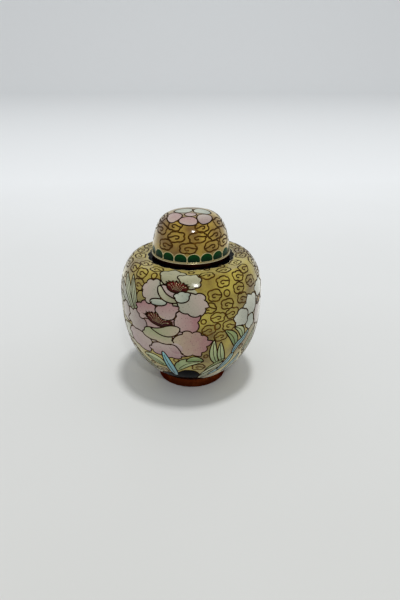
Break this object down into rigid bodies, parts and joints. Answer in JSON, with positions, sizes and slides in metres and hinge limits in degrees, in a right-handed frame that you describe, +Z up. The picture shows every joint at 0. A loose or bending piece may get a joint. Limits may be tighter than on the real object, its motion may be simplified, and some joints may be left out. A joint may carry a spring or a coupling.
{
  "type": "cloisonne ginger jar",
  "caption": "Small covered cloisonne ginger jar: hollow enamelled body on a bare copper foot ring, with a lift-off dome lid that fits over its neck.",
  "frame": {"origin": "centre of the circle that the foot ring stands on", "axes": "+Z up along the jar's axis, -Y towards the front with the large white and pink flowers, +X to the viewer's right"},
  "size_m": [0.061, 0.061, 0.0766],
  "materials": {
    "body_enamel": "glossy mustard enamel with copper wires, clouds and peonies",
    "lid_enamel": "glossy brown-gold enamel with copper wires, clouds, one flower and green lappets",
    "bare_copper": "dark brown-red patinated copper, lightly polished",
    "gilt_rim": "pale gilt bead on a band of dark bare copper, polished"
  },
  "bodies": {
    "root": {"jar_body": "body_enamel", "foot_ring": "bare_copper", "lid_dome": "lid_enamel", "lid_rim": "gilt_rim"}
  },
  "joints": []
}
